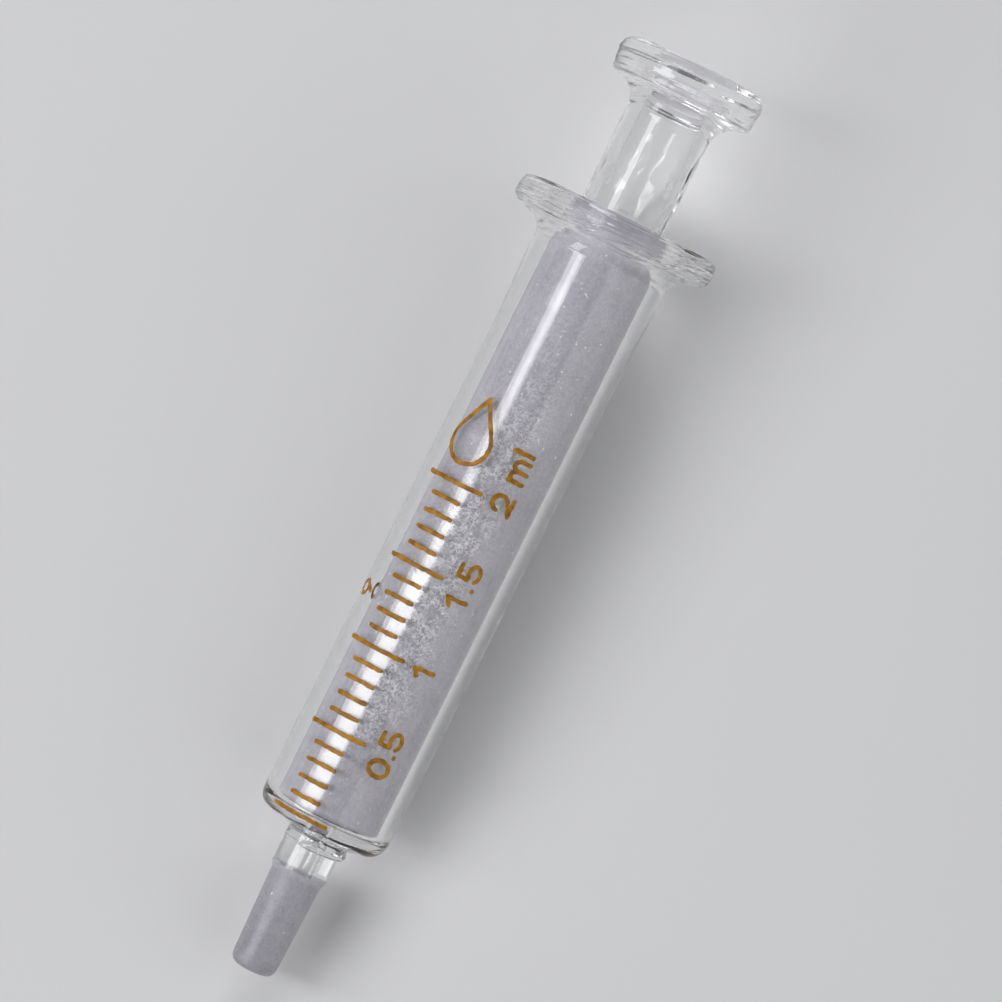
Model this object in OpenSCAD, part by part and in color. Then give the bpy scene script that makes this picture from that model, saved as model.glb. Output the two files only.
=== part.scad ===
// Two millilitre all-glass syringe for giving liquid medicine by mouth or through a Luer fitting.
// The axis of the syringe is +X, from the tip of the nozzle at the origin to the thumb button.
// It lies with the front of its scale up, towards +Z. Millimetres and degrees throughout.

/* [Capacity] */
// Volume between the zero line and the last line, in millilitres
capacity_ml = 2; // [1.5:0.5:2.5]
// Volume between two neighbouring lines, in millilitres
division_ml = 0.1; // [0.1, 0.5]

/* [Barrel] */
// Bore of the barrel
bore_d = 9.18; // [8.8:0.02:9.4]
// Outer diameter of the barrel
barrel_od = 11.5; // [11.2:0.1:12.4]
// Radius of the rounded shoulder above the nozzle
shoulder_r = 2; // [1.6:0.1:2.2]
// Thickness of the glass floor of the barrel, from the nozzle's stem to the bore
floor_t = 1.9; // [1.6:0.05:2.3]
// Clear length between the last line and the top face of the flange
head_room = 25.6; // [20:0.05:30]

/* [Finger flange] */
// Diameter of the finger flange
flange_d = 18.12; // [17:0.02:20]
// Thickness of the finger flange at its rim
flange_t = 2.65; // [2.4:0.05:3.2]
// Radius of the rounded mouth of the bore
mouth_r = 1; // [0.5:0.1:1.2]

/* [Nozzle] */
// Diameter of the Luer cone at its small end
luer_d = 3.93; // [3.93:0.01:3.99]
// Length of the ground Luer cone
luer_len = 8.55; // [7.5:0.05:10]
// Diameter of the clear stem behind the cone
stem_d = 4.9; // [4.8:0.1:5.4]
// Length from the tip to the fused bead at the root of the stem
stem_len = 11.3; // [10.6:0.1:12]
// Diameter of the fluid passage
passage_d = 1.6; // [1:0.1:2]

/* [Plunger] */
// Gap between the ground plunger and the bore, on the radius
running_gap = 0.025; // [0.01:0.005:0.05]
// Gap left between the home plunger and the floor of the barrel
home_gap = 0.2; // [0.1:0.05:0.4]
// Wall of the plunger's ground tube
plunger_wall = 1.15; // [0.9:0.05:1.4]
// Outer diameter of the clear neck
neck_d = 7.46; // [7:0.02:8]
// Wall of the neck
neck_wall = 1.13; // [0.9:0.01:1.4]
// Length of the neck that stands above the flange when the plunger is home
neck_len = 8.1; // [6:0.1:12]
// Diameter of the thumb button
button_d = 13.08; // [12:0.02:15]

/* [Scale] */
// Thickness of the fired enamel
ink_t = 0.03; // [0.02:0.01:0.05]
// Width of a scale line
line_w = 0.38; // [0.2:0.01:0.4]
// Width of the strokes of numerals and emblem
stroke_w = 0.39; // [0.25:0.01:0.42]
// Height of a numeral, along the middle of its strokes
numeral_h = 1.75; // [1.6:0.05:2]
// Slant of the printed block, in degrees round the barrel for each millimetre along it
print_slant = 0.245; // [0:0.005:0.3]

/* [Hidden] */
$fn = 96;

glass = [0.80, 0.86, 0.88, 0.4];
ground_glass = [0.78, 0.79, 0.82];
enamel = [0.73, 0.47, 0.05];

// Places along the axis, measured from the tip
bore_r = bore_d / 2;
barrel_r = barrel_od / 2;
stem_r = stem_d / 2;
passage_r = passage_d / 2;
bead_r = 0.55;
bead_out = 0.05;
bead_cut = 0.4;
bead_angle = acos(bead_cut / bead_r);
bead_x = stem_len + bead_r;
stem_top = bead_x + bead_cut;
stem_top_r = stem_r + bead_out + bead_r * sin(bead_angle);
floor_x = stem_top + floor_t;
seat_r = 0.6;
bore_x = floor_x + seat_r;
shoulder_rise = 0.2;
shoulder_x = stem_top + shoulder_rise + shoulder_r;
zero_under_floor = 0.27;
stroke_len = 1000 * capacity_ml / (PI * bore_r * bore_r);
zero_x = floor_x - zero_under_floor;
full_x = zero_x + stroke_len;
flange_top = full_x + head_room;
flange_under = flange_top - flange_t;
flange_root_len = 11.7;
flange_root = flange_top - flange_root_len;

// Finger flange
flange_r = flange_d / 2;
rim_r = 1;
rim_top_r = 0.95;
flare_r = 1.52;
flare_out = 0.18;
flare_run = 0.28;

// Luer cone, six per cent taper on the diameter
luer_r = luer_d / 2;
taper = 0.03;
tip_round = 0.9;
cone_step = 0.65;
cone_top_r = luer_r + taper * luer_len;
stem_x = luer_len + cone_step;

// Plunger
plunger_r = bore_r - running_gap;
plunger_x = floor_x + home_gap;
plunger_floor_t = 1.25;
end_round = 0.65;
cavity_r = plunger_r - plunger_wall;
cavity_round = 1.5;
ground_x = plunger_x + plunger_floor_t + cavity_round;
ground_under_flange = 1.8;
ground_top = flange_top - ground_under_flange;
neck_r = neck_d / 2;
neck_bore_r = neck_r - neck_wall;
neck_blend = 1.6;
neck_blend_inside = 2;
neck_top = flange_top + neck_len;
button_r = button_d / 2;
button_fillet = 1.8;
button_fillet_len = 2.37;
button_under = neck_top + button_fillet_len;
button_t = 3.48;
button_top = button_under + button_t;
button_round = 1.3;
button_low_round = 0.62;
button_low_in = 0.78;
button_low_rise = 0.1;
dome_x = neck_top + 3.5;
dome_r = neck_bore_r + 0.2;
dome_h = 0.8;

// Printing. Angles go round the barrel from +Y, so 90 is the top of the lying syringe.
divisions = round(capacity_ml / division_ml);
long_every = 5;
long_from = 31.8;
long_to = 88.3;
short_from = 44.8;
short_to = 75;
text_angle = 106.5;
emblem_angle = 58;
emblem_above = 3.5;
pair_angle = 21.5;
pair_x = 33;
drop_r = 1.9;
drop_angle = 60;

function oval(c, rx, ry, from, to, steps) =
    [for (i = [0:steps]) let (a = from + (to - from) * i / steps) c + [rx * cos(a), ry * sin(a)]];

function arc(c, r, from, to, steps = 8) = oval(c, r, r, from, to, steps);

// A smooth step from one radius to another along the axis
function blend(x0, x1, r0, r1, steps = 8) =
    [for (i = [0:steps]) [x0 + (x1 - x0) * i / steps, r0 + (r1 - r0) * (1 - cos(180 * i / steps)) / 2]];

// How far the print has slanted round the barrel at a place along it
function slant(x) = print_slant * (x - full_x);

// Turns a shape made round Z so that Z runs along the syringe
module along_x() {
    rotate([90, 0, 90]) children();
}

// Revolves an outline of [place along the axis, radius] points
module lathe(outline) {
    along_x() rotate_extrude() polygon([for (p = outline) [p[1], p[0]]]);
}

// ---- Barrel ----

module barrel_tube() {
    color(glass) lathe([
        [bore_x, bore_r], [bore_x, barrel_r], [flange_root, barrel_r], [flange_root, bore_r]
    ]);
}

// The rounded, closed end of the barrel, with the passage through its floor
module barrel_shoulder() {
    color(glass) lathe(concat(
        [[bore_x, barrel_r]],
        arc([shoulder_x, barrel_r - shoulder_r], shoulder_r, 90, 150),
        [[stem_top, stem_top_r], [stem_top, passage_r], [floor_x, passage_r]],
        arc([bore_x, bore_r - seat_r], seat_r, 180, 90, 6)
    ));
}

module finger_flange() {
    color(glass) lathe(concat(
        [[flange_root, bore_r], [flange_root, barrel_r]],
        arc([flange_under - flare_r - flare_run, barrel_r + flare_out + flare_r], flare_r, -90, 0),
        arc([flange_under + rim_r, flange_r - rim_r], rim_r, 180, 90),
        arc([flange_top - rim_top_r, flange_r - rim_top_r], rim_top_r, 90, 0),
        arc([flange_top - mouth_r, bore_r + mouth_r], mouth_r, 0, -90)
    ));
}

module nozzle_stem() {
    color(glass) lathe(concat(
        [[stem_x, passage_r], [stem_x, stem_r], [stem_len, stem_r]],
        arc([bead_x, stem_r + bead_out], bead_r, 180, bead_angle),
        [[stem_top, passage_r]]
    ));
}

module luer_cone() {
    round_r = luer_r + taper * tip_round - tip_round;
    color(ground_glass) lathe(concat(
        [[0, passage_r]],
        arc([tip_round, round_r], tip_round, 180, 90, 6),
        [[luer_len, cone_top_r], [stem_x, stem_r], [stem_x, passage_r]]
    ));
}

// ---- Printing ----

// The thin skin of enamel on a stretch of the straight barrel
module ink_skin(from, to) {
    translate([from, 0, 0]) along_x() difference() {
        cylinder(r = barrel_r + ink_t, h = to - from);
        cylinder(r = barrel_r, h = to - from);
    }
}

// The radius of the outside of the barrel, on its straight part and on its shoulder
function outside_r(x) = x > shoulder_x ? barrel_r
    : barrel_r - shoulder_r + sqrt(pow(shoulder_r, 2) - pow(shoulder_x - x, 2));

// A line round the barrel
module scale_line(x, from, to) {
    low = x - line_w / 2;
    high = x + line_w / 2;
    along_x() rotate_extrude(angle = to - from, start = from) polygon([
        [outside_r(low), low], [outside_r(low) + ink_t, low],
        [outside_r(high) + ink_t, high], [outside_r(high), high]
    ]);
}

module scale_lines(long) {
    for (i = [0:divisions]) {
        x = zero_x + i * stroke_len / divisions;
        if (long == (i % long_every == 0))
            scale_line(x, (long ? long_from : short_from) - slant(x), (long ? long_to : short_to) - slant(x));
    }
}

// Places flat artwork on the barrel, reading along +X, within a reach either side of x
module on_barrel(x, angle, reach = 7) {
    color(enamel) intersection() {
        ink_skin(x - reach, x + reach);
        translate([x, 0, 0]) rotate([angle - 90, 0, 0]) translate([0, 0, barrel_r - 1])
            linear_extrude(2) children();
    }
}

// A straight stroke with round ends
module bar(p, q) {
    d = q - p;
    translate(p) rotate(atan2(d[1], d[0])) translate([0, -stroke_w / 2]) square([norm(d), stroke_w]);
    for (end = [p, q]) translate(end) circle(d = stroke_w, $fn = 12);
}

// A curved stroke about a centre, with round ends
module bow(c, rx, ry, from, to, steps = 10) {
    half_w = stroke_w / 2;
    polygon(concat(
        oval(c, rx + half_w, ry + half_w, from, to, steps),
        oval(c, rx - half_w, ry - half_w, to, from, steps)
    ));
    for (a = [from, to]) translate(c + [rx * cos(a), ry * sin(a)]) circle(d = stroke_w, $fn = 12);
}

// A closed oval stroke
module ring(c, rx, ry) {
    difference() {
        polygon(oval(c, rx + stroke_w / 2, ry + stroke_w / 2, 0, 345, 23));
        polygon(oval(c, rx - stroke_w / 2, ry - stroke_w / 2, 0, 345, 23));
    }
}

module digit_0() {
    ring([0.69, numeral_h / 2], 0.69, numeral_h / 2);
}

module digit_1() {
    bar([0.64, 0], [0.64, numeral_h]);
    bar([0.64, numeral_h], [0.03, numeral_h - 0.36]);
}

module digit_2() {
    r = 0.65;
    leave_angle = -63;
    top = [0.78, numeral_h - r];
    bow(top, r, r, leave_angle, 168);
    bar(top + r * [cos(leave_angle), sin(leave_angle)], [0, 0]);
    bar([0, 0], [1.38, 0]);
}

module digit_5() {
    rx = 0.68;
    ry = 0.5;
    enter_angle = 120;
    belly = [0.66, ry];
    heel = [0.06, 0.92];
    top = [0.1, numeral_h];
    bow(belly, rx, ry, -150, enter_angle);
    bar(heel, belly + [rx * cos(enter_angle), ry * sin(enter_angle)]);
    bar(heel, top);
    bar(top, [1.08, numeral_h]);
}

module digit_9() {
    r = 0.58;
    ring([r, numeral_h - r], r, r);
    bar([2 * r - 0.02, numeral_h - r - 0.15], [0.5, 0]);
}

module point() {
    circle(d = stroke_w * 1.1, $fn = 12);
}

module letter_m() {
    r = 0.44;
    leg = numeral_h * 0.72;
    for (i = [0:2]) bar([2 * r * i, 0], [2 * r * i, i == 0 ? leg : leg - r]);
    for (i = [0:1]) bow([r + 2 * r * i, leg - r], r, r, 0, 180);
}

module half() {
    digit_0();
    translate([1.98, 0.08]) point();
    translate([2.56, 0]) digit_5();
}

module one_and_a_half() {
    digit_1();
    translate([1.79, 0.08]) point();
    translate([2.48, 0]) digit_5();
}

// Puts a numeral beside its line, with its baseline away from the lines. The middle of the numeral stands
// past the line by the given length, and sets how far it has slanted.
module beside_line(volume, back, past = 0) {
    x = zero_x + volume * stroke_len / capacity_ml;
    on_barrel(x - back, text_angle - slant(x + past)) translate([0, -numeral_h / 2]) children();
}

module long_scale_lines() {
    color(enamel) scale_lines(true);
}

module short_scale_lines() {
    color(enamel) scale_lines(false);
}

module numeral_0_5() {
    beside_line(0.5, 1.95) half();
}

module numeral_1() {
    beside_line(1, 0.59) digit_1();
}

module numeral_1_5() {
    beside_line(1.5, 1.75) one_and_a_half();
}

module numeral_2() {
    beside_line(capacity_ml, 0.71) digit_2();
}

module unit_ml() {
    beside_line(capacity_ml, -2.13, 3.3) {
        letter_m();
        translate([2.43, 0.08]) bar([0, 0], [0, numeral_h]);
    }
}

// A drop outline of the given radius, with its point towards +X
module drop(r) {
    polygon(concat(arc([0, 0], r, drop_angle, 360 - drop_angle, 20), [[r / cos(drop_angle), 0]]));
}

module drop_emblem() {
    on_barrel(full_x + emblem_above, emblem_angle) difference() {
        drop(drop_r + stroke_w / 2);
        drop(drop_r - stroke_w / 2);
    }
}

module barrel_pair_number() {
    on_barrel(pair_x, pair_angle) translate([-0.58, -numeral_h / 2]) digit_9();
}

// ---- Plunger ----

// The closed end of the plunger, which pushes the liquid
module plunger_end() {
    color(ground_glass) lathe(concat(
        [[plunger_x, 0]],
        arc([plunger_x + end_round, plunger_r - end_round], end_round, 180, 90, 6),
        [[ground_x, plunger_r]],
        arc([ground_x, cavity_r - cavity_round], cavity_round, 90, 180, 6),
        [[plunger_x + plunger_floor_t, 0]]
    ));
}

module plunger_ground_tube() {
    color(ground_glass) lathe([
        [ground_x, cavity_r], [ground_x, plunger_r], [ground_top, plunger_r], [ground_top, cavity_r]
    ]);
}

module plunger_neck() {
    outside = blend(ground_top, ground_top + neck_blend, plunger_r, neck_r);
    inside = blend(ground_top + neck_blend_inside, ground_top, neck_bore_r, cavity_r);
    color(glass) lathe(concat(outside, [[neck_top, neck_r], [neck_top, neck_bore_r]], inside));
}

module thumb_button() {
    color(glass) lathe(concat(
        [[neck_top, neck_bore_r], [neck_top, neck_r]],
        oval([neck_top, neck_r + button_fillet], button_fillet_len, button_fillet, -90, 0, 8),
        arc([button_under + button_low_rise + button_low_round, button_r - button_low_in],
            button_low_round, 180, 100),
        arc([button_top - button_round, button_r - button_round], button_round, 90, 0),
        [[button_top, 0]],
        oval([dome_x, 0], dome_h, dome_r, 0, 90, 6)
    ));
}

barrel_tube();
barrel_shoulder();
finger_flange();
nozzle_stem();
luer_cone();
long_scale_lines();
short_scale_lines();
numeral_0_5();
numeral_1();
numeral_1_5();
numeral_2();
unit_ml();
drop_emblem();
barrel_pair_number();
plunger_end();
plunger_ground_tube();
plunger_neck();
thumb_button();
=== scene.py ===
"""Looks for the two millilitre all-glass syringe, lying on a pale floor under soft studio light.

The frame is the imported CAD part: +X runs along the syringe from the nozzle's tip to the thumb button, and
the printed scale faces +Z. Every glass node becomes a turned piece of real glass with smooth curves, and
every printed node becomes fired enamel that wraps round the barrel. Sizes and places are in millimetres and
angles in degrees, but the materials work in metres, as Blender does.
"""

import math

import bmesh
import bpy
from mathutils import Matrix, Vector, noise


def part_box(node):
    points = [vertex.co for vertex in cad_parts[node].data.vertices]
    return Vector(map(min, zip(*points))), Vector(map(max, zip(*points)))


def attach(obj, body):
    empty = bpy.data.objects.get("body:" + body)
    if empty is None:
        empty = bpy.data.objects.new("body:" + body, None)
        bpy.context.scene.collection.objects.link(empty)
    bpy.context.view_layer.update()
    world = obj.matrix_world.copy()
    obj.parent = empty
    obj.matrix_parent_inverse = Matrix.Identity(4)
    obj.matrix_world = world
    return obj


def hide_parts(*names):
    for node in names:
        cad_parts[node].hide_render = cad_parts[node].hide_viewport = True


MM = 0.001
# Faces round every turned piece
SEGMENTS = 192

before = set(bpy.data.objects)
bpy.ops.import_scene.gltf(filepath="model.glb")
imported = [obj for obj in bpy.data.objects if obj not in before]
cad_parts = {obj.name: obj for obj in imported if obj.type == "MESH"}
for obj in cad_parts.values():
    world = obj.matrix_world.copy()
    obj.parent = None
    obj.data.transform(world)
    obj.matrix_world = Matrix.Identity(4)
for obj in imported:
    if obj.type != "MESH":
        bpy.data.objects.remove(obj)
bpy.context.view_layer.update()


# ---- Sizes ----


def span(node):
    """(first X, last X, largest radius) of a CAD node, in millimetres."""
    low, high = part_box(node)
    return low.x / MM, high.x / MM, high.z / MM


_, STEM_X, _ = span("luer_cone")
_, STEM_TOP, _ = span("nozzle_stem")
_, BORE_X, _ = span("barrel_shoulder")
_, FLANGE_ROOT, BARREL_R = span("barrel_tube")
_, FLANGE_TOP, FLANGE_R = span("finger_flange")
PLUNGER_X, GROUND_X, PLUNGER_R = span("plunger_end")
_, GROUND_TOP, _ = span("plunger_ground_tube")
_, NECK_TOP, _ = span("plunger_neck")
_, BUTTON_TOP, BUTTON_R = span("thumb_button")

# The bore, its rounded seat, and the fluid passage through the nozzle
BORE_R = 4.59
SEAT_R = 0.6
PASSAGE_R = 0.8
FLOOR_X = BORE_X - SEAT_R
# The nozzle: the Luer cone with its taper on the radius, the clear stem, and the bead at the stem's root
LUER_R = 1.965
LUER_LEN = 8.55
TAPER = 0.03
TIP_ROUND = 0.9
CONE_TOP_R = LUER_R + TAPER * LUER_LEN
STEM_R = 2.45
BEAD_R = 0.55
BEAD_CUT = 0.4
BEAD_OUT = 0.05
BEAD_X = STEM_TOP - BEAD_CUT
# The barrel's shoulder and its finger flange
SHOULDER_R = 2
SHOULDER_X = STEM_TOP + 0.2 + SHOULDER_R
FLANGE_T = 2.65
FLANGE_UNDER = FLANGE_TOP - FLANGE_T
MOUTH_R = 1
# The plunger: the inside of its ground tube, its neck, and where the dome under the button begins
CAVITY_R = 3.415
NECK_R = 3.73
NECK_BORE_R = 2.6
DOME_X = NECK_TOP + 3.5
# The enamel: its thickness, how far its underside sinks, the width and raggedness of its soft edge, and the
# grid that it is cut from
INK_T = 0.03
INK_SINK = 0.008
INK_EDGE = 0.09
INK_RAGGED = 0.07
INK_CELL = 0.05
# The print: the widths of lines and strokes, and the scale, which holds two millilitres
LINE_W = 0.38
STROKE_W = 0.39
NUMERAL_H = 1.75
TENTHS = 20
STROKE_LEN = 2000 / (math.pi * BORE_R**2)
ZERO_X = FLOOR_X - 0.27
FULL_X = ZERO_X + STROKE_LEN
# The print slants round the barrel by this many degrees for each millimetre along it
SLANT = 0.245
# Angles round the barrel from +Y where the lines start and end, and where the other marks stand
LONG_FROM, LONG_TO = 31.8, 88.3
SHORT_FROM, SHORT_TO = 44.8, 75
NUMERAL_ANGLE = 106.5
EMBLEM_ANGLE, EMBLEM_PAST = 58, 3.5
PAIR_ANGLE, PAIR_X = 21.5, 33


# ---- Materials ----

GLASS_IOR = 1.474
GLASS_COLOUR = (0.91, 0.912, 0.915, 1)
LAMP_PASS_COLOUR = (0.9, 0.9, 0.9, 1)
SCRATCH_COLOUR = (0.97, 0.97, 1, 1)
ENAMEL_DARK = (0.2, 0.08, 0.001)
ENAMEL_LIGHT = (0.51, 0.24, 0.006)
PAPER_DARK = (0.74, 0.74, 0.75)
PAPER_LIGHT = (0.77, 0.77, 0.775)
# The worn patch on the front of the ground plunger, in metres: the line along its middle, its half width at
# full wear and at none, and where along the syringe it fades in and out
WORN_Y = 0.0002
WORN_FULL, WORN_NONE = 0.0005, 0.0035
WORN_FROM, WORN_IN = 0.016, 0.026
WORN_OUT, WORN_TO = 0.046, 0.060


class Nodes:
    """Short calls for building a material's node tree."""

    def __init__(self, name):
        self.material = bpy.data.materials.new(name)
        self.material.use_nodes = True
        self.tree = self.material.node_tree
        self.tree.nodes.clear()
        self.out = self.tree.nodes.new("ShaderNodeOutputMaterial")
        self.place = self.tree.nodes.new("ShaderNodeTexCoord").outputs["Object"]

    def add(self, kind, **settings):
        node = self.tree.nodes.new("ShaderNode" + kind)
        for key, value in settings.items():
            setattr(node, key, value)
        return node

    def link(self, a, b):
        self.tree.links.new(a, b)

    def set(self, node, **values):
        """Sets sockets by name, with _ for a space. A socket is linked, and anything else is a constant."""
        for key, value in values.items():
            socket = node.inputs[key.replace("_", " ")]
            if isinstance(value, bpy.types.NodeSocket):
                self.link(value, socket)
            else:
                socket.default_value = value
        return node

    def noise(self, scale, detail=3.0, roughness=0.5, stretch=None):
        """Random patches. scale is their number to the metre, and stretch changes it along X, Y and Z."""
        place = self.place
        if stretch:
            mapping = self.add("Mapping")
            mapping.inputs["Scale"].default_value = stretch
            self.link(self.place, mapping.inputs["Vector"])
            place = mapping.outputs["Vector"]
        node = self.add("TexNoise")
        self.set(node, Vector=place, Scale=scale, Detail=detail, Roughness=roughness)
        return node.outputs["Fac"]

    def cracks(self, scale, width):
        """A web of fine lines, 1 on a line and 0 beside it. They are the edges between random cells, bent
        and broken up."""
        waver = self.add("TexNoise")
        self.set(waver, Vector=self.place, Scale=1.3 * scale, Detail=2.0)
        bent = self.add("VectorMath", operation="MULTIPLY_ADD")
        self.link(waver.outputs["Color"], bent.inputs[0])
        bent.inputs[1].default_value = (1.6 / scale,) * 3
        self.link(self.place, bent.inputs[2])
        cells = self.add("TexVoronoi", feature="DISTANCE_TO_EDGE")
        self.set(cells, Vector=bent.outputs["Vector"], Scale=scale)
        line = self.ramp(cells.outputs["Distance"], 0.0, width, 1.0, 0.0)
        return self.math("MULTIPLY", line, self.ramp(self.noise(0.9 * scale), 0.42, 0.56, 0.0, 1.0))

    def axis(self, letter):
        """The place along X, Y or Z, in metres."""
        node = self.add("SeparateXYZ")
        self.link(self.place, node.inputs["Vector"])
        return node.outputs[letter]

    def ramp(self, value, low, high, low_to, high_to):
        """Turns low to high into low_to to high_to, and stays there past the ends."""
        node = self.add("MapRange")
        self.set(node, Value=value, From_Min=low, From_Max=high, To_Min=low_to, To_Max=high_to)
        return node.outputs["Result"]

    def math(self, operation, a, b):
        node = self.add("Math", operation=operation)
        for socket, value in zip(node.inputs, (a, b)):
            if isinstance(value, bpy.types.NodeSocket):
                self.link(value, socket)
            else:
                socket.default_value = value
        return node.outputs[0]

    def colours(self, value, *stops):
        """A colour ramp of (place, colour) stops."""
        node = self.add("ValToRGB")
        elements = node.color_ramp.elements
        while len(elements) < len(stops):
            elements.new(0.5)
        for element, (place, colour) in zip(elements, stops):
            element.position = place
            element.color = (*colour, 1)
        self.link(value, node.inputs["Fac"])
        return node.outputs["Color"]

    def bump(self, height, strength, distance):
        node = self.add("Bump")
        self.set(node, Height=height, Strength=strength, Distance=distance)
        return node.outputs["Normal"]

    def finish(self, shader):
        self.link(shader, self.out.inputs["Surface"])
        return self.material


def clear_glass():
    """Clear borosilicate glass: faint drawing waves, and a trace of handling that dulls it in patches. It
    lets the light of the lamps through to what it holds."""
    n = Nodes("clear_glass")
    waves = n.noise(160, detail=2, stretch=(0.25, 1, 1))
    smears = n.noise(420, detail=5, roughness=0.65)
    shader = n.add("BsdfPrincipled")
    n.set(
        shader,
        Base_Color=GLASS_COLOUR,
        Transmission_Weight=1.0,
        IOR=GLASS_IOR,
        Roughness=n.ramp(smears, 0.5, 0.8, 0.0, 0.06),
        Normal=n.bump(waves, 0.25, 0.00004),
    )
    passing = n.add("BsdfTransparent")
    passing.inputs["Color"].default_value = LAMP_PASS_COLOUR
    either = n.add("MixShader")
    n.link(n.add("LightPath").outputs["Is Shadow Ray"], either.inputs["Fac"])
    n.link(shader.outputs["BSDF"], either.inputs[1])
    n.link(passing.outputs["BSDF"], either.inputs[2])
    return n.finish(either.outputs["Shader"])


def ground_glass(name, white, dark, light, rough, relief):
    """Glass ground with abrasive: it scatters light, with fine grain and turning marks. The middle of the
    front is worn to a web of brighter scratches, and a few specks of glass dust have stayed on it. white is
    the share of light that the ground skin sends back, dark and light are the greys of its tone, rough is
    how dull it is, and relief is the depth of its grain in metres."""
    n = Nodes(name)
    grain = n.noise(6000, detail=4, roughness=0.8)
    marks = n.noise(2600, detail=3, stretch=(4, 0.6, 0.6))
    patches = n.noise(230, detail=4, roughness=0.6)
    mottle = n.noise(1100, detail=5, roughness=0.75)
    web = n.math("MAXIMUM", n.cracks(2400, 0.19), n.cracks(3900, 0.24))
    off_middle = n.math("ABSOLUTE", n.math("SUBTRACT", n.axis("Y"), WORN_Y), 0)
    side = n.ramp(off_middle, WORN_FULL, WORN_NONE, 1.0, 0.0)
    start = n.ramp(n.axis("X"), WORN_FROM, WORN_IN, 0.0, 1.0)
    stop = n.ramp(n.axis("X"), WORN_OUT, WORN_TO, 1.0, 0.15)
    where = n.math("MULTIPLY", n.math("MULTIPLY", side, start), stop)
    worn = n.math("MULTIPLY", where, n.ramp(n.noise(700, detail=3), 0.36, 0.52, 0.3, 1.0))
    scratches = n.math("MULTIPLY", web, n.math("MAXIMUM", worn, 0.16))
    specks = n.ramp(n.noise(3000, detail=2), 0.7, 0.73, 0.0, 1.0)
    bright = n.math("MAXIMUM", scratches, specks)
    fine = n.noise(5200, detail=3, roughness=0.7)
    tone = n.math("ADD", n.math("MULTIPLY", patches, 0.3), n.math("MULTIPLY", mottle, 0.35))
    tone = n.math("ADD", tone, n.math("MULTIPLY", fine, 0.35))
    tone = n.math("SUBTRACT", tone, n.math("MULTIPLY", worn, 0.2))
    height = n.math("ADD", grain, n.math("MULTIPLY", marks, 0.4))
    height = n.math("ADD", height, n.math("MULTIPLY", scratches, 1.2))
    shader = n.add("BsdfPrincipled")
    tint = n.add("Mix", data_type="RGBA")
    # A cool grey: a little less green and a little more blue
    low_tone, high_tone = [(grey, grey - 0.018, grey + 0.035) for grey in (dark, light)]
    ground = n.colours(tone, (0.4, low_tone), (0.6, high_tone))
    # A colour Mix node's sockets are found by number: 6 and 7 are its two colours, and output 2 is the mix
    n.link(bright, tint.inputs["Factor"])
    n.link(ground, tint.inputs[6])
    tint.inputs[7].default_value = SCRATCH_COLOUR
    n.set(
        shader,
        Base_Color=tint.outputs[2],
        Transmission_Weight=n.ramp(bright, 0.0, 1.0, 1 - white, 0.1),
        IOR=GLASS_IOR,
        Roughness=n.ramp(patches, 0.3, 0.7, rough, rough + 0.14),
        Specular_IOR_Level=0.7,
        Normal=n.bump(height, 0.9, relief),
    )
    return n.finish(shader.outputs["BSDF"])


def enamel():
    """Amber enamel fired on the glass, a little uneven in thickness and tone."""
    n = Nodes("amber_enamel")
    tone = n.noise(1500, detail=4, roughness=0.6)
    pits = n.noise(9000, detail=2)
    shader = n.add("BsdfPrincipled")
    n.set(
        shader,
        Base_Color=n.colours(tone, (0.34, ENAMEL_DARK), (0.66, ENAMEL_LIGHT)),
        Roughness=n.ramp(pits, 0.3, 0.7, 0.36, 0.6),
        Specular_IOR_Level=0.35,
        Normal=n.bump(pits, 0.4, 0.00001),
    )
    return n.finish(shader.outputs["BSDF"])


def fused_joint():
    """The inside of the glass where one piece runs into the next. Nothing shows there."""
    n = Nodes("fused_joint")
    return n.finish(n.add("BsdfTransparent").outputs["BSDF"])


def floor_paper():
    """Pale matt studio paper."""
    n = Nodes("floor_paper")
    fibres = n.noise(900, detail=5, roughness=0.6)
    cloud = n.noise(9, detail=2)
    shader = n.add("BsdfPrincipled")
    n.set(
        shader,
        Base_Color=n.colours(cloud, (0.3, PAPER_DARK), (0.7, PAPER_LIGHT)),
        Roughness=0.85,
        Specular_IOR_Level=0.2,
        Normal=n.bump(fibres, 0.15, 0.0001),
    )
    return n.finish(shader.outputs["BSDF"])


# The finishes of the turned glass, by the names that its outlines use
FINISHES = {
    "clear": clear_glass(),
    # The plunger's ground glass sends back more light than the cone's (white 0.78 against 0.5). This is
    # painted light on the plunger, which makes up for the dimmer light that reaches it behind the barrel's
    # glass.
    "ground": ground_glass("ground_glass", white=0.78, dark=0.365, light=0.49, rough=0.34, relief=0.00006),
    "cone": ground_glass("ground_cone_glass", white=0.5, dark=0.4, light=0.56, rough=0.28, relief=0.000012),
    # The dome at the end of the neck's bore is ground glass of a near-white grey, brighter than the
    # plunger's.
    "pale_dome": ground_glass("pale_dome_glass", white=0.55, dark=0.84, light=0.94, rough=0.3, relief=0.00006),
    "joint": fused_joint(),
}
FINISH_INDEX = {name: index for index, name in enumerate(FINISHES)}
ENAMEL = enamel()


# ---- Turned glass ----


def oval(x, r, along, out, start, end, steps=16):
    """Points (X, radius) on an oval stretch of an outline, round a middle at (x, r). Angles turn from +X
    towards the outside."""
    points = []
    for i in range(steps + 1):
        a = math.radians(start + (end - start) * i / steps)
        points.append((x + along * math.cos(a), r + out * math.sin(a)))
    return points


def arc(x, r, radius, start, end, steps=16):
    """Points on a round stretch of an outline."""
    return oval(x, r, radius, radius, start, end, steps)


def eased(x0, r0, x1, r1, steps=16):
    """Points of a smooth step between two radii."""
    points = []
    for i in range(steps + 1):
        t = i / steps
        points.append((x0 + (x1 - x0) * t, r0 + (r1 - r0) * (1 - math.cos(math.pi * t)) / 2))
    return points


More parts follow.
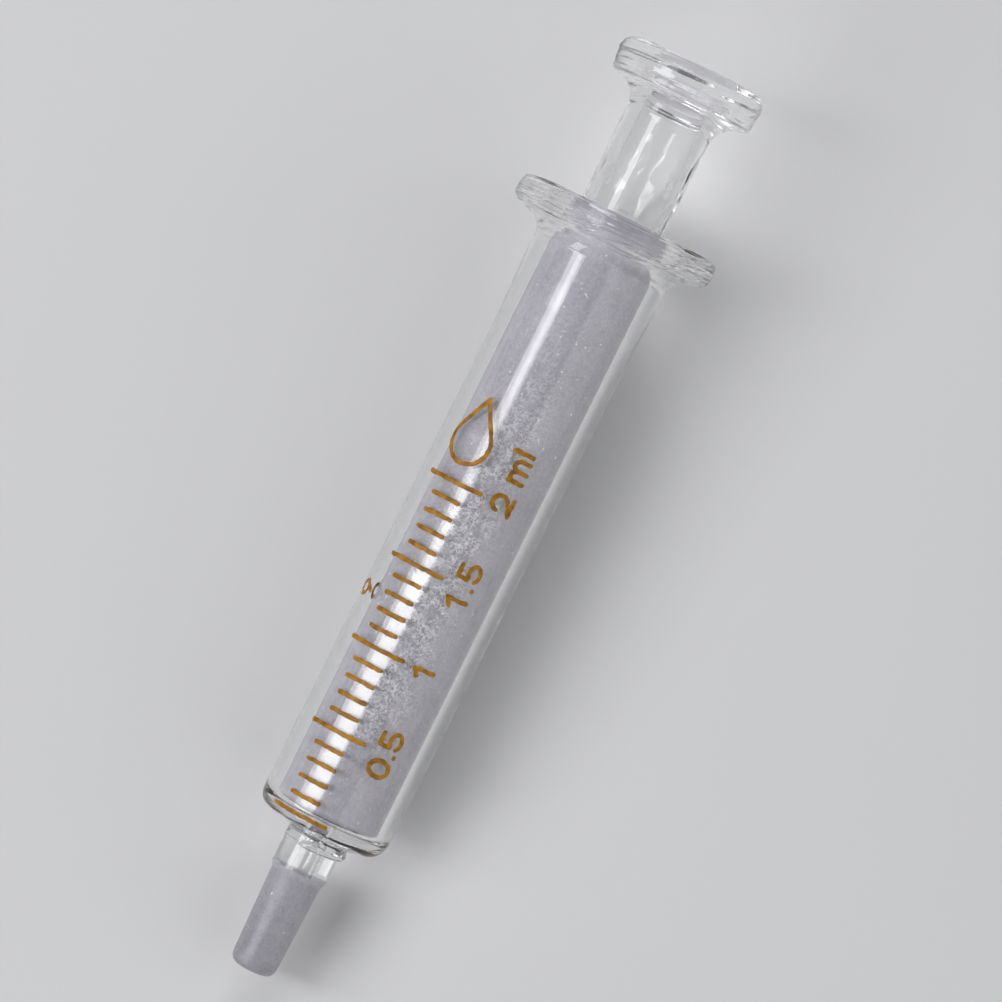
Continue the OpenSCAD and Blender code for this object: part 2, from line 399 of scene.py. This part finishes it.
def straight(x0, r0, x1, r1, step=1.0):
    """Points of a straight stretch, close enough together to carry the waves of drawn glass."""
    count = max(1, round(math.hypot(x1 - x0, r1 - r0) / step))
    return [(x0 + (x1 - x0) * i / count, r0 + (r1 - r0) * i / count) for i in range(count + 1)]


def smooth(t):
    """Eases from 0 to 1 as t does."""
    t = max(0.0, min(1.0, t))
    return t * t * (3 - 2 * t)


def random_share(place):
    """Random change from place to place, from 0 to 1."""
    return 0.5 + 0.5 * max(-1.0, min(1.0, 1.8 * noise.noise(Vector(place))))


def lumps(x, angle, length, turn, seed):
    """Slow random change along the glass and round it, from 0 to 1. length is the length of a lump, and a
    larger turn puts more of them round the glass."""
    return random_share((x / length, turn * math.cos(angle) + seed, turn * math.sin(angle)))


def sunk(depth, x, r, core_x, core_r):
    """A move of the glass by depth towards a core that lies inside it."""
    dx, dr = core_x - x, core_r - r
    far = math.hypot(dx, dr)
    return depth * dx / far, depth * dr / far


# Each of these is a moved() for turned() below: how far the glass departs from its true turned shape


def lumpy_neck(x, r, angle):
    """The inside of the neck was drawn by hand, so its wall swells and thins between the neck's two ends."""
    ends = smooth((x - GROUND_TOP - 0.6) / 2) * smooth((NECK_TOP + 0.5 - x) / 6)
    fine = 0.3 * lumps(x, angle, 1.1, 3.4, 8.0)
    return 0, 0.2 * ends * (lumps(x, angle, 2.6, 2.2, 2.0) + fine)


def wavy_neck(x, r, angle):
    """The outside of the neck has faint drawing waves."""
    return 0, -0.02 * smooth((x - GROUND_TOP - 1.6) / 2) * lumps(x, angle, 2.4, 1.6, 5.0)


def lopsided_bead(x, r, angle):
    """The bead of the fused nozzle bulges on one side and runs smoothly into the shoulder on the other."""
    if r <= STEM_R:
        return 0, 0
    side = smooth(0.5 + 0.5 * math.cos(angle)) + 0.3 * lumps(x, angle, 0.6, 2.0, 3.0)
    return 0, -(r - STEM_R) * min(0.95, side) * smooth((STEM_TOP + 0.9 - x) / 0.9)


def sealed_shoulder(x, r, angle):
    """The shoulder was closed in the flame round the nozzle, which left it a little uneven."""
    dx, dr = lopsided_bead(x, r, angle)
    near = smooth((SHOULDER_X - 0.4 - x) / 1.2) * smooth((x - STEM_TOP) / 0.5)
    return dx + 0.12 * near * lumps(x, angle, 1.2, 0.55 * r, 6.0), dr


def rolled_rim(x, r, angle):
    """The flange was rolled hot, which left streaks that run round it. Its surface sinks towards its core by
    them."""
    streak = (3.8 * x + math.cos(angle), 3.8 * r + math.sin(angle), 0.8 * math.cos(angle + 1))
    depth = 0.15 * random_share(streak)
    depth += 0.12 * lumps(x, angle, 6, 1.5, 4.0)
    depth *= smooth((x - FLANGE_UNDER + 1.8) / 1.2) * smooth((r - BORE_R - 0.2) / 1.1)
    return sunk(depth, x, r, FLANGE_UNDER + FLANGE_T / 2, (FLANGE_R + BARREL_R) / 2)


def pressed_button(x, r, angle):
    """The button was pressed hot, which left faint rings and lumps on it. Its surface sinks towards its core
    by them."""
    ring = (3.2 * x + math.cos(angle), 1.6 * r + math.sin(angle), 0.7 * math.cos(angle + 2))
    depth = 0.09 * random_share(ring) + 0.05 * lumps(x, angle, 5, 1.2, 11)
    depth *= smooth((x - NECK_TOP - 2.5) / 0.8) * smooth(r / 3)
    return sunk(depth, x, r, BUTTON_TOP - 1.7, BUTTON_R - 1.9)


def turned(node, body, stretches):
    """A closed glass piece for one CAD node. It is a list of stretches (finish, points, moved or None) in
    order round a closed outline, or from the axis to the axis. Its outside runs towards +X, and its inside
    towards -X. moved(x, r, angle) gives how far the glass departs from the true turned shape there, along X
    and the radius."""
    outline = []
    for finish, points, moved in stretches:
        joined = outline and math.dist(outline[-1][0], points[0]) < 1e-6
        for point in points[1:] if joined else points:
            outline.append((point, FINISH_INDEX[finish], moved))
    closed = outline[0][0][1] > 1e-9
    if closed:
        outline[0] = (outline[0][0], outline.pop()[1], outline[0][2])
    made = bmesh.new()
    rings = []
    for (x, r), _, moved in outline:
        ring = []
        for k in range(SEGMENTS if r > 1e-9 else 1):
            angle = 2 * math.pi * k / SEGMENTS
            dx, dr = moved(x, r, angle) if moved and r > 1e-9 else (0, 0)
            place = ((x + dx) * MM, (r + dr) * math.cos(angle) * MM, (r + dr) * math.sin(angle) * MM)
            ring.append(made.verts.new(place))
        rings.append(ring)
    for i in range(len(rings) if closed else len(rings) - 1):
        following = (i + 1) % len(rings)
        a, b = rings[i], rings[following]
        for k in range(SEGMENTS):
            n = (k + 1) % SEGMENTS
            corners = [a[k % len(a)], a[n % len(a)], b[n % len(b)], b[k % len(b)]]
            face = made.faces.new(list(dict.fromkeys(corners)))
            face.material_index = outline[following][1]
            face.smooth = True
    mesh = bpy.data.meshes.new(node + "_glass")
    made.to_mesh(mesh)
    made.free()
    mesh.set_sharp_from_angle(angle=math.radians(32))
    piece = bpy.data.objects.new(node + "_glass", mesh)
    bpy.context.scene.collection.objects.link(piece)
    for material in FINISHES.values():
        mesh.materials.append(material)
    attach(piece, body)
    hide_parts(node)


def make_luer_cone():
    round_r = LUER_R + TAPER * TIP_ROUND - TIP_ROUND
    tip = arc(TIP_ROUND, round_r, TIP_ROUND, 180, 90)
    turned("luer_cone", "barrel", [
        ("cone", [(0, PASSAGE_R)] + tip, None),
        ("cone", straight(TIP_ROUND, round_r + TIP_ROUND, LUER_LEN, CONE_TOP_R), None),
        ("cone", eased(LUER_LEN, CONE_TOP_R, STEM_X, STEM_R, 6), None),
        ("joint", [(STEM_X, STEM_R), (STEM_X, PASSAGE_R)], None),
        ("clear", straight(STEM_X, PASSAGE_R, 0, PASSAGE_R), None),
    ])


def make_nozzle_stem():
    bead_angle = math.degrees(math.acos(BEAD_CUT / BEAD_R))
    bead = arc(BEAD_X, STEM_R + BEAD_OUT, BEAD_R, 180, bead_angle)
    turned("nozzle_stem", "barrel", [
        ("clear", straight(STEM_X, STEM_R, BEAD_X - BEAD_R, STEM_R, 0.25), None),
        ("clear", bead, lopsided_bead),
        ("joint", [bead[-1], (STEM_TOP, PASSAGE_R)], None),
        ("clear", straight(STEM_TOP, PASSAGE_R, STEM_X, PASSAGE_R), None),
        ("joint", [(STEM_X, PASSAGE_R), (STEM_X, STEM_R)], None),
    ])


def make_barrel_shoulder():
    bead_angle = math.acos(BEAD_CUT / BEAD_R)
    start = (STEM_TOP, STEM_R + BEAD_OUT + BEAD_R * math.sin(bead_angle))
    shoulder = arc(SHOULDER_X, BARREL_R - SHOULDER_R, SHOULDER_R, 150, 90)
    turned("barrel_shoulder", "barrel", [
        ("clear", straight(*start, *shoulder[0], 0.12), sealed_shoulder),
        ("clear", shoulder, sealed_shoulder),
        ("clear", [(SHOULDER_X, BARREL_R), (BORE_X, BARREL_R)], None),
        ("joint", [(BORE_X, BARREL_R), (BORE_X, BORE_R)], None),
        ("clear", arc(BORE_X, BORE_R - SEAT_R, SEAT_R, 90, 180), None),
        ("clear", [(FLOOR_X, BORE_R - SEAT_R), (FLOOR_X, PASSAGE_R)], None),
        ("clear", [(FLOOR_X, PASSAGE_R), (STEM_TOP, PASSAGE_R)], None),
        ("joint", [(STEM_TOP, PASSAGE_R), start], None),
    ])


def make_barrel_tube():
    turned("barrel_tube", "barrel", [
        ("clear", straight(BORE_X, BARREL_R, FLANGE_ROOT, BARREL_R), None),
        ("joint", [(FLANGE_ROOT, BARREL_R), (FLANGE_ROOT, BORE_R)], None),
        ("clear", straight(FLANGE_ROOT, BORE_R, BORE_X, BORE_R, 6), None),
        ("joint", [(BORE_X, BORE_R), (BORE_X, BARREL_R)], None),
    ])


def make_finger_flange():
    rim_r, rim_top_r, flare_r = 1.0, 0.95, 1.52
    flare_foot = BARREL_R + 0.18
    flare_x = FLANGE_UNDER - flare_r - 0.28
    under = arc(FLANGE_UNDER + rim_r, FLANGE_R - rim_r, rim_r, 180, 90)
    over = arc(FLANGE_TOP - rim_top_r, FLANGE_R - rim_top_r, rim_top_r, 90, 0)
    flare = arc(flare_x, flare_foot + flare_r, flare_r, -90, 0, 28)
    turned("finger_flange", "barrel", [
        ("clear", eased(FLANGE_ROOT, BARREL_R, flare_x, flare_foot), None),
        ("clear", flare, rolled_rim),
        ("clear", straight(*flare[-1], *under[0], 0.1), rolled_rim),
        ("clear", under, rolled_rim),
        ("clear", straight(*under[-1], *over[0], 0.1), rolled_rim),
        ("clear", over, rolled_rim),
        ("clear", straight(*over[-1], FLANGE_TOP, BORE_R + MOUTH_R, 0.1), rolled_rim),
        ("clear", arc(FLANGE_TOP - MOUTH_R, BORE_R + MOUTH_R, MOUTH_R, 0, -90), rolled_rim),
        ("clear", straight(FLANGE_TOP - MOUTH_R, BORE_R, FLANGE_ROOT, BORE_R, 4), None),
        ("joint", [(FLANGE_ROOT, BORE_R), (FLANGE_ROOT, BARREL_R)], None),
    ])


def make_plunger_end():
    end_round, floor_t, cavity_round = 0.65, 1.25, 1.5
    rounding = arc(PLUNGER_X + end_round, PLUNGER_R - end_round, end_round, 180, 90)
    turned("plunger_end", "plunger", [
        ("ground", [(PLUNGER_X, 0)] + rounding, None),
        ("ground", [(PLUNGER_X + end_round, PLUNGER_R), (GROUND_X, PLUNGER_R)], None),
        ("joint", [(GROUND_X, PLUNGER_R), (GROUND_X, CAVITY_R)], None),
        ("clear", arc(GROUND_X, CAVITY_R - cavity_round, cavity_round, 90, 180), None),
        ("clear", [(PLUNGER_X + floor_t, CAVITY_R - cavity_round), (PLUNGER_X + floor_t, 0)], None),
    ])


def make_plunger_tube():
    turned("plunger_ground_tube", "plunger", [
        ("ground", straight(GROUND_X, PLUNGER_R, GROUND_TOP, PLUNGER_R, 6), None),
        ("joint", [(GROUND_TOP, PLUNGER_R), (GROUND_TOP, CAVITY_R)], None),
        ("clear", straight(GROUND_TOP, CAVITY_R, GROUND_X, CAVITY_R), None),
        ("joint", [(GROUND_X, CAVITY_R), (GROUND_X, PLUNGER_R)], None),
    ])


def make_plunger_neck():
    blend, blend_inside = 1.6, 2.0
    turned("plunger_neck", "plunger", [
        ("ground", eased(GROUND_TOP, PLUNGER_R, GROUND_TOP + blend, NECK_R), None),
        ("clear", straight(GROUND_TOP + blend, NECK_R, NECK_TOP, NECK_R, 0.25), wavy_neck),
        ("joint", [(NECK_TOP, NECK_R), (NECK_TOP, NECK_BORE_R)], None),
        ("clear", straight(NECK_TOP, NECK_BORE_R, GROUND_TOP + blend_inside, NECK_BORE_R, 0.2), lumpy_neck),
        ("clear", eased(GROUND_TOP + blend_inside, NECK_BORE_R, GROUND_TOP, CAVITY_R), lumpy_neck),
        ("joint", [(GROUND_TOP, CAVITY_R), (GROUND_TOP, PLUNGER_R)], None),
    ])


def make_thumb_button():
    fillet, fillet_len = 1.8, 2.37
    low_round, low_in, low_rise = 0.62, 0.78, 0.1
    top_round = 1.3
    dome_r, dome_h = NECK_BORE_R + 0.2, 0.8
    under = NECK_TOP + fillet_len
    low = arc(under + low_rise + low_round, BUTTON_R - low_in, low_round, 180, 100)
    top = arc(BUTTON_TOP - top_round, BUTTON_R - top_round, top_round, 90, 0)
    turned("thumb_button", "plunger", [
        # The dome at the bore's end, in near-white ground glass
        ("pale_dome", oval(DOME_X, 0, dome_h, dome_r, 0, 90), None),
        ("clear", eased(DOME_X, dome_r, NECK_TOP, NECK_BORE_R), lumpy_neck),
        ("joint", [(NECK_TOP, NECK_BORE_R), (NECK_TOP, NECK_R)], None),
        ("clear", oval(NECK_TOP, NECK_R + fillet, fillet_len, fillet, -90, 0), wavy_neck),
        ("clear", low, wavy_neck),
        ("clear", straight(*low[-1], *top[0], 0.12), pressed_button),
        ("clear", top, pressed_button),
        ("clear", straight(*top[-1], BUTTON_TOP, 0, 0.3), pressed_button),
    ])


# ---- Printing ----


def outside_r(x):
    """Radius of the outside of the barrel, on its straight part and on its shoulder."""
    if x > SHOULDER_X:
        return BARREL_R
    return BARREL_R - SHOULDER_R + math.sqrt(SHOULDER_R**2 - (SHOULDER_X - x) ** 2)


def slant(x):
    """How far the print has slanted round the barrel at a place along it, in degrees."""
    return SLANT * (x - FULL_X)


def distance_to(x, y, pairs):
    """Distance from a point to the nearest of the straight segments."""
    best = 1e9
    for (ax, ay), (bx, by) in pairs:
        dx, dy = bx - ax, by - ay
        t = ((x - ax) * dx + (y - ay) * dy) / (dx * dx + dy * dy or 1)
        t = max(0.0, min(1.0, t))
        best = min(best, math.hypot(x - ax - t * dx, y - ay - t * dy))
    return best


def print_shape(made, strokes, width, place, seed):
    """Adds a printed shape to a mesh as one closed skin of enamel with a soft, slightly ragged edge. strokes
    are lists of points on the flat, and place turns (x, y, height) into a point on the glass. The skin is
    cut from a grid, square by square, along the line where the strokes' width ends."""
    pairs = [pair for stroke in strokes for pair in zip(stroke, stroke[1:])]
    xs = [p[0] for stroke in strokes for p in stroke]
    ys = [p[1] for stroke in strokes for p in stroke]
    margin = width / 2 + 3 * INK_CELL
    x0, y0 = min(xs) - margin, min(ys) - margin
    nx = math.ceil((max(xs) + margin - x0) / INK_CELL)
    ny = math.ceil((max(ys) + margin - y0) / INK_CELL)

    def field(i, j):
        """Distance outside the shape at a grid point, negative inside it."""
        x, y = x0 + i * INK_CELL, y0 + j * INK_CELL
        rough = INK_RAGGED * noise.noise(Vector((x * 3.1, y * 3.1, seed)))
        return distance_to(x, y, pairs) - width / 2 + rough

    values = [[field(i, j) for j in range(ny + 1)] for i in range(nx + 1)]
    tops, floors = {}, {}

    def corner(i, j):
        """A grid point in the shape, as (key, place, distance inside)."""
        return (i, j), (x0 + i * INK_CELL, y0 + j * INK_CELL), -values[i][j]

    def crossing(i, j, k, m):
        """The point of the shape's edge between two grid points, as (key, place, distance inside)."""
        a, b = values[i][j], values[k][m]
        t = a / (a - b)
        key = (i, j, k, m) if (i, j) < (k, m) else (k, m, i, j)
        return key, (x0 + (i + (k - i) * t) * INK_CELL, y0 + (j + (m - j) * t) * INK_CELL), 0.0

    def vertex(entry):
        """Makes the two points of the skin over and under a place once, and gives its key."""
        key, (x, y), inside = entry
        if key not in tops:
            rise = min(1.0, inside / INK_EDGE)
            uneven = 0.85 + 0.15 * noise.noise(Vector((x * 5, y * 5, seed + 9)))
            height = INK_T * (0.3 + 0.7 * math.sin(rise * math.pi / 2)) * uneven
            tops[key] = made.verts.new(place(x, y, height))
            floors[key] = made.verts.new(place(x, y, -INK_SINK))
        return key

    edges = {}
    for i in range(nx):
        for j in range(ny):
            ring = [(i, j), (i + 1, j), (i + 1, j + 1), (i, j + 1)]
            if min(values[a][b] for a, b in ring) >= 0:
                continue
            keys = []
            for (a, b), (c, d) in zip(ring, ring[1:] + ring[:1]):
                if values[a][b] < 0:
                    keys.append(vertex(corner(a, b)))
                if (values[a][b] < 0) != (values[c][d] < 0):
                    keys.append(vertex(crossing(a, b, c, d)))
            made.faces.new([tops[k] for k in keys]).smooth = True
            made.faces.new([floors[k] for k in reversed(keys)]).smooth = True
            for edge in zip(keys, keys[1:] + keys[:1]):
                edges[edge] = True
    # An edge that no neighbour runs back along is on the shape's rim, and gets a side wall
    for k, m in edges:
        if (m, k) not in edges:
            made.faces.new([tops[m], tops[k], floors[k], floors[m]])


def wrapped(x_at, angle):
    """Turns flat artwork into points on the barrel. It reads along +X from x_at, and its middle line is at
    an angle round the barrel from +Y."""

    def place(x, y, height):
        turn = math.radians(angle) - y / BARREL_R
        r = outside_r(x_at + x) + height
        return ((x_at + x) * MM, r * math.cos(turn) * MM, r * math.sin(turn) * MM)

    return place


def enamel_piece(node, prints):
    """One printed CAD node. prints is a list of (strokes, width, place)."""
    made = bmesh.new()
    for i, (strokes, width, place) in enumerate(prints):
        print_shape(made, strokes, width, place, seed=len(node) + 1.7 * i)
    mesh = bpy.data.meshes.new(node + "_enamel")
    made.to_mesh(mesh)
    made.free()
    mesh.materials.append(ENAMEL)
    piece = bpy.data.objects.new(node + "_enamel", mesh)
    bpy.context.scene.collection.objects.link(piece)
    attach(piece, "barrel")
    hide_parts(node)


def scale_lines(node, wanted, start, end):
    """The lines round the barrel at every tenth of a millilitre for which wanted(i) holds."""
    prints = []
    for i in range(TENTHS + 1):
        if not wanted(i):
            continue
        x = ZERO_X + STROKE_LEN * i / TENTHS
        reach = math.radians(end - start) / 2 * BARREL_R - LINE_W / 2
        middle = (start + end) / 2 - slant(x)
        prints.append(([[(0, -reach), (0, reach)]], LINE_W, wrapped(x, middle)))
    enamel_piece(node, prints)


def shifted(strokes, dx, dy=0):
    return [[(x + dx, y + dy) for x, y in stroke] for stroke in strokes]


# The figures stand on y = 0 and start at about x = 0


def digit_0():
    return [oval(0.69, NUMERAL_H / 2, 0.69, NUMERAL_H / 2, 0, 360, 48)]


def digit_1():
    return [[(0.03, NUMERAL_H - 0.36), (0.64, NUMERAL_H), (0.64, 0)]]


def digit_2():
    return [arc(0.78, NUMERAL_H - 0.65, 0.65, 168, -63, 24) + [(0, 0), (1.38, 0)]]


def digit_5():
    return [[(1.08, NUMERAL_H), (0.1, NUMERAL_H), (0.06, 0.92)] + oval(0.66, 0.5, 0.68, 0.5, 120, -150, 24)]


def digit_9():
    r = 0.58
    return [arc(r, NUMERAL_H - r, r, 0, 360, 32), [(2 * r - 0.02, NUMERAL_H - r - 0.15), (0.5, 0)]]


def point():
    return [[(0, 0.08), (0.01, 0.08)]]


def letter_m():
    r, leg = 0.44, NUMERAL_H * 0.72
    first = [(0, leg), (0, 0)]
    left = [(0, leg - r)] + arc(r, leg - r, r, 180, 0) + [(2 * r, 0)]
    right = arc(3 * r, leg - r, r, 180, 0) + [(4 * r, 0)]
    return [first, left, right]


def beside_line(node, volume, back, strokes, past=0):
    """Prints strokes beside the line of a volume, starting back from it. past is how far past the line their
    slant is taken."""
    x = ZERO_X + volume * STROKE_LEN / 2
    at = wrapped(x - back, NUMERAL_ANGLE - slant(x + past))
    enamel_piece(node, [(shifted(strokes, 0, -NUMERAL_H / 2), STROKE_W, at)])


def make_printing():
    scale_lines("long_scale_lines", lambda i: i % 5 == 0, LONG_FROM, LONG_TO)
    scale_lines("short_scale_lines", lambda i: i % 5, SHORT_FROM, SHORT_TO)
    beside_line("numeral_0_5", 0.5, 1.95, digit_0() + shifted(point(), 1.98) + shifted(digit_5(), 2.56))
    beside_line("numeral_1", 1, 0.59, digit_1())
    beside_line("numeral_1_5", 1.5, 1.75, digit_1() + shifted(point(), 1.79) + shifted(digit_5(), 2.48))
    beside_line("numeral_2", 2, 0.71, digit_2())
    letter_l = [[(2.43, 0.08), (2.43, NUMERAL_H + 0.08)]]
    beside_line("unit_ml", 2, -2.13, letter_m() + letter_l, past=3.3)
    drop_r, drop_angle = 1.9, 60
    drop = arc(0, 0, drop_r, drop_angle, 360 - drop_angle, 40)
    tip = (drop_r / math.cos(math.radians(drop_angle)), 0)
    at = wrapped(FULL_X + EMBLEM_PAST, EMBLEM_ANGLE)
    enamel_piece("drop_emblem", [([[tip] + drop + [tip]], STROKE_W, at)])
    number = shifted(digit_9(), -0.58, -NUMERAL_H / 2)
    enamel_piece("barrel_pair_number", [(number, STROKE_W, wrapped(PAIR_X, PAIR_ANGLE))])


# ---- Studio ----

# The gap under the syringe, the place on the flange that rests on the floor, and the floor's half width in
# metres
FLOOR_GAP = 0.03
RIM_REST_X = FLANGE_TOP - 1.2
FLOOR_HALF = 3.0
# The camera looks down on the front of the syringe, tilted a little towards +X. The picture's up leans from
# the syringe's axis by LEAN
CAMERA_TILT = 2.2
CAMERA_DISTANCE = 478
CAMERA_TARGET = Vector((44.16, -1.416, 0))
LEAN = 26.31
LENS = 207.3
SENSOR = 36
# The lamps turn round this place on the axis
LIT_X = 42
WORLD_COLOUR = (0.93, 0.95, 1, 1)
WORLD_STRENGTH = 0.14


def floor_slope():
    """The lying syringe rests on the flange's rim and the barrel's shoulder, so it leans by this angle."""
    return math.atan2(FLANGE_R - BARREL_R, RIM_REST_X - SHOULDER_X)


def make_floor():
    slope = floor_slope()
    mesh = bpy.data.meshes.new("floor")
    made = bmesh.new()
    bmesh.ops.create_grid(made, x_segments=8, y_segments=8, size=FLOOR_HALF)
    made.to_mesh(mesh)
    made.free()
    floor = bpy.data.objects.new("floor", mesh)
    bpy.context.scene.collection.objects.link(floor)
    mesh.materials.append(floor_paper())
    down = Vector((-math.sin(slope), 0, -math.cos(slope)))
    foot = Vector((SHOULDER_X, 0, 0)) + down * (BARREL_R + FLOOR_GAP)
    floor.matrix_world = Matrix.Translation(foot * MM) @ Matrix.Rotation(slope, 4, "Y")


def make_camera():
    tilt, lean = math.radians(CAMERA_TILT), math.radians(LEAN)
    back = Vector((math.sin(tilt), 0, math.cos(tilt)))
    along = Vector((math.cos(tilt), 0, -math.sin(tilt)))
    up = along * math.cos(lean) + Vector((0, 1, 0)) * math.sin(lean)
    right = up.cross(back)
    camera = bpy.data.objects.new("camera", bpy.data.cameras.new("camera"))
    camera.data.lens = LENS
    camera.data.sensor_width = SENSOR
    camera.data.clip_start = 0.01
    camera.data.clip_end = 50
    turn = Matrix((right, up, back)).transposed().to_4x4()
    camera.matrix_world = Matrix.Translation((CAMERA_TARGET + back * CAMERA_DISTANCE) * MM) @ turn
    bpy.context.scene.collection.objects.link(camera)
    bpy.context.scene.camera = camera


def softbox(name, across, along, shift, distance, width, length, strength):
    """A rectangular light. across is its angle from straight up towards +Y, and along its angle towards +X.
    shift slides it along the syringe, in millimetres. distance, its width round the syringe and its length
    along it are in metres, and strength is its power for each square metre."""
    direction = Vector((math.sin(math.radians(along)), math.sin(math.radians(across)), 1))
    direction.z = math.sqrt(max(0.01, 1 - direction.x**2 - direction.y**2))
    data = bpy.data.lights.new(name, "AREA")
    data.shape = "RECTANGLE"
    data.size = length
    data.size_y = width
    data.energy = strength * width * length
    light = bpy.data.objects.new(name, data)
    z = direction.normalized()
    x = (Vector((1, 0, 0)) - z * z.x).normalized()
    y = z.cross(x)
    centre = Vector((LIT_X + shift, 0, 0)) * MM
    turn = Matrix((x, y, z)).transposed().to_4x4()
    light.matrix_world = Matrix.Translation(centre + z * distance) @ turn
    bpy.context.scene.collection.objects.link(light)


def make_light():
    """A row of four key lamps on the +Y side, which gives the glass its long highlight, a soft fill on the
    -Y side, and one lamp towards each end."""
    softbox("key_top", 37, 0, 12, 0.6, 0.16, 0.112, 19)
    softbox("key_upper", 37, 0, -7, 0.6, 0.2, 0.07, 7)
    softbox("key_middle", 38.5, 0, -76, 0.6, 0.28, 0.111, 6)
    softbox("key_low", 40, 0, -86, 0.6, 0.39, 0.092, 19)
    softbox("front_softbox", 37, -38, 0, 0.75, 0.2, 0.5, 14)
    softbox("fill_softbox", -56, 5, 0, 1.0, 1.3, 1.0, 2.9)
    softbox("far_softbox", 15, 50, 0, 1.1, 0.5, 0.2, 28)
    world = bpy.data.worlds.new("studio")
    world.use_nodes = True
    background = world.node_tree.nodes["Background"]
    background.inputs["Color"].default_value = WORLD_COLOUR
    background.inputs["Strength"].default_value = WORLD_STRENGTH
    bpy.context.scene.world = world


make_luer_cone()
make_nozzle_stem()
make_barrel_shoulder()
make_barrel_tube()
make_finger_flange()
make_plunger_end()
make_plunger_tube()
make_plunger_neck()
make_thumb_button()
make_printing()
make_floor()
make_camera()
make_light()

# Light passes many walls of glass, and the fused joints in them are transparent faces
scene = bpy.context.scene
scene.view_settings.view_transform = "Standard"
scene.cycles.max_bounces = 32
scene.cycles.transmission_bounces = 32
scene.cycles.glossy_bounces = 12
scene.cycles.transparent_max_bounces = 48
